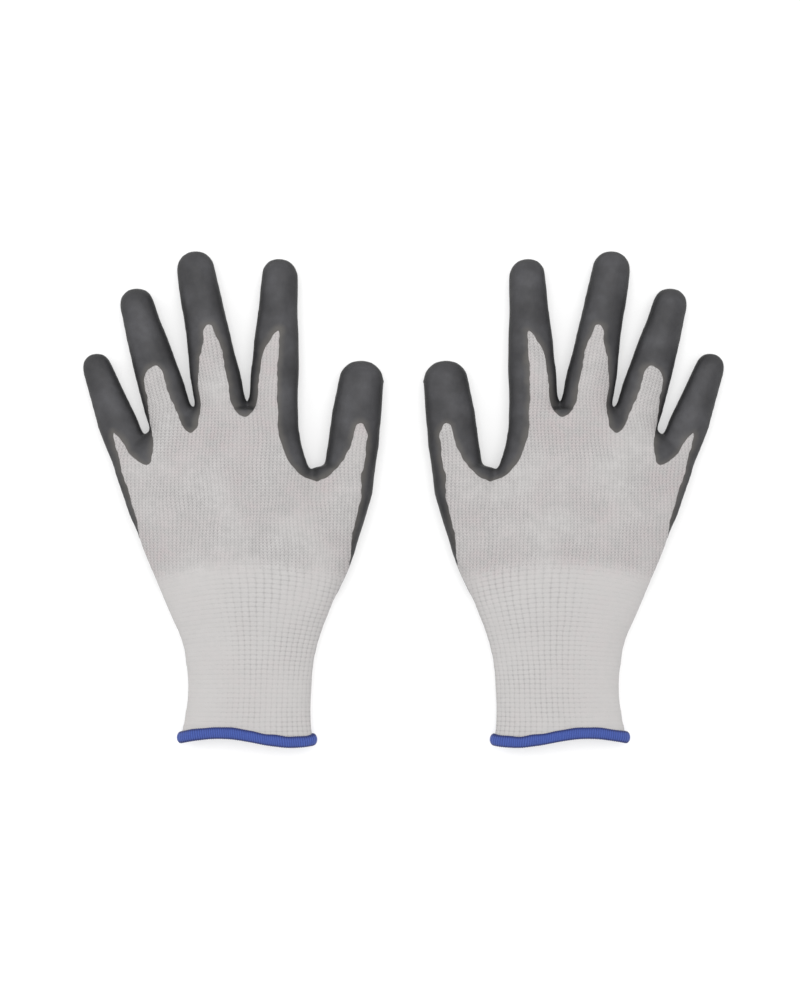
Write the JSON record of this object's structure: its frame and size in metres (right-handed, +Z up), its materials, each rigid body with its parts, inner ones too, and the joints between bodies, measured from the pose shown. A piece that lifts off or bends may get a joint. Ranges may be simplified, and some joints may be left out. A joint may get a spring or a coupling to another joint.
{
  "type": "pair of palm-dipped knitted work gloves",
  "caption": "Pair of knitted work gloves lying palm down, grey dipped film on palms and fingertips, pale knitted backs and cuffs with a blue overlocked edge; fingers and cuffs fold.",
  "frame": {"origin": "middle of the pair, midway between cuff edges and fingertips, on the surface the gloves lie on", "axes": "+X towards the right glove, +Y towards the fingertips, +Z up, away from the palms"},
  "size_m": [0.3218, 0.2487, 0.024],
  "materials": {
    "knit": "pale grey plain knit",
    "film": "smooth satin dipped film",
    "edging": "blue overlock thread",
    "elastic": "covered elastic yarn"
  },
  "bodies": {
    "right_hand": {"right_back_liner": "knit", "right_palm_liner": "knit", "right_palm_film": "film"},
    "right_cuff": {"right_cuff_liner": "knit", "right_cuff_edging": "edging", "right_cuff_elastic": "elastic"},
    "right_thumb": {"right_thumb_liner": "knit", "right_thumb_film": "film"},
    "right_index": {"right_index_liner": "knit", "right_index_film": "film"},
    "right_middle": {"right_middle_liner": "knit", "right_middle_film": "film"},
    "right_ring": {"right_ring_liner": "knit", "right_ring_film": "film"},
    "right_little": {"right_little_liner": "knit", "right_little_film": "film"},
    "left_hand": {"left_back_liner": "knit", "left_palm_liner": "knit", "left_palm_film": "film"},
    "left_cuff": {"left_cuff_liner": "knit", "left_cuff_edging": "edging", "left_cuff_elastic": "elastic"},
    "left_thumb": {"left_thumb_liner": "knit", "left_thumb_film": "film"},
    "left_index": {"left_index_liner": "knit", "left_index_film": "film"},
    "left_middle": {"left_middle_liner": "knit", "left_middle_film": "film"},
    "left_ring": {"left_ring_liner": "knit", "left_ring_film": "film"},
    "left_little": {"left_little_liner": "knit", "left_little_film": "film"}
  },
  "joints": [
    {"name": "right_wrist_fold", "type": "hinge", "parent": "right_hand", "child": "right_cuff", "pos_m": [0.077, -0.064, 0.0107], "axis": [1, 0, 0], "range_deg": [-45, 45], "stiffness_Nm_per_rad": 0.1},
    {"name": "right_thumb_flex", "type": "hinge", "parent": "right_hand", "child": "right_thumb", "pos_m": [0.0253, 0.027, 0.01], "axis": [-0.9914, -0.1305, 0], "range_deg": [-15, 80], "stiffness_Nm_per_rad": 0.08},
    {"name": "right_index_flex", "type": "hinge", "parent": "right_hand", "child": "right_index", "pos_m": [0.0644, 0.0625, 0.0095], "axis": [-0.999, -0.0454, 0], "range_deg": [-15, 80], "stiffness_Nm_per_rad": 0.08},
    {"name": "right_middle_flex", "type": "hinge", "parent": "right_hand", "child": "right_middle", "pos_m": [0.0937, 0.06, 0.0098], "axis": [-0.9829, 0.1839, 0], "range_deg": [-15, 80], "stiffness_Nm_per_rad": 0.08},
    {"name": "right_ring_flex", "type": "hinge", "parent": "right_hand", "child": "right_ring", "pos_m": [0.1206, 0.0536, 0.0093], "axis": [-0.9593, 0.2823, 0], "range_deg": [-15, 80], "stiffness_Nm_per_rad": 0.08},
    {"name": "right_little_flex", "type": "hinge", "parent": "right_hand", "child": "right_little", "pos_m": [0.1434, 0.039, 0.0085], "axis": [-0.9348, 0.3551, 0], "range_deg": [-15, 80], "stiffness_Nm_per_rad": 0.08},
    {"name": "left_glove_lift", "type": "slide", "parent": "right_hand", "child": "left_hand", "axis": [0, 0, 1], "range_m": [0, 0.12]},
    {"name": "left_wrist_fold", "type": "hinge", "parent": "left_hand", "child": "left_cuff", "pos_m": [-0.077, -0.064, 0.0107], "axis": [1, 0, 0], "range_deg": [-45, 45], "stiffness_Nm_per_rad": 0.1},
    {"name": "left_thumb_flex", "type": "hinge", "parent": "left_hand", "child": "left_thumb", "pos_m": [-0.0253, 0.027, 0.01], "axis": [-0.9914, 0.1305, 0], "range_deg": [-15, 80], "stiffness_Nm_per_rad": 0.08},
    {"name": "left_index_flex", "type": "hinge", "parent": "left_hand", "child": "left_index", "pos_m": [-0.0644, 0.0625, 0.0095], "axis": [-0.999, 0.0454, 0], "range_deg": [-15, 80], "stiffness_Nm_per_rad": 0.08},
    {"name": "left_middle_flex", "type": "hinge", "parent": "left_hand", "child": "left_middle", "pos_m": [-0.0937, 0.06, 0.0098], "axis": [-0.9829, -0.1839, 0], "range_deg": [-15, 80], "stiffness_Nm_per_rad": 0.08},
    {"name": "left_ring_flex", "type": "hinge", "parent": "left_hand", "child": "left_ring", "pos_m": [-0.1206, 0.0536, 0.0093], "axis": [-0.9593, -0.2823, 0], "range_deg": [-15, 80], "stiffness_Nm_per_rad": 0.08},
    {"name": "left_little_flex", "type": "hinge", "parent": "left_hand", "child": "left_little", "pos_m": [-0.1434, 0.039, 0.0085], "axis": [-0.9348, -0.3551, 0], "range_deg": [-15, 80], "stiffness_Nm_per_rad": 0.08}
  ]
}
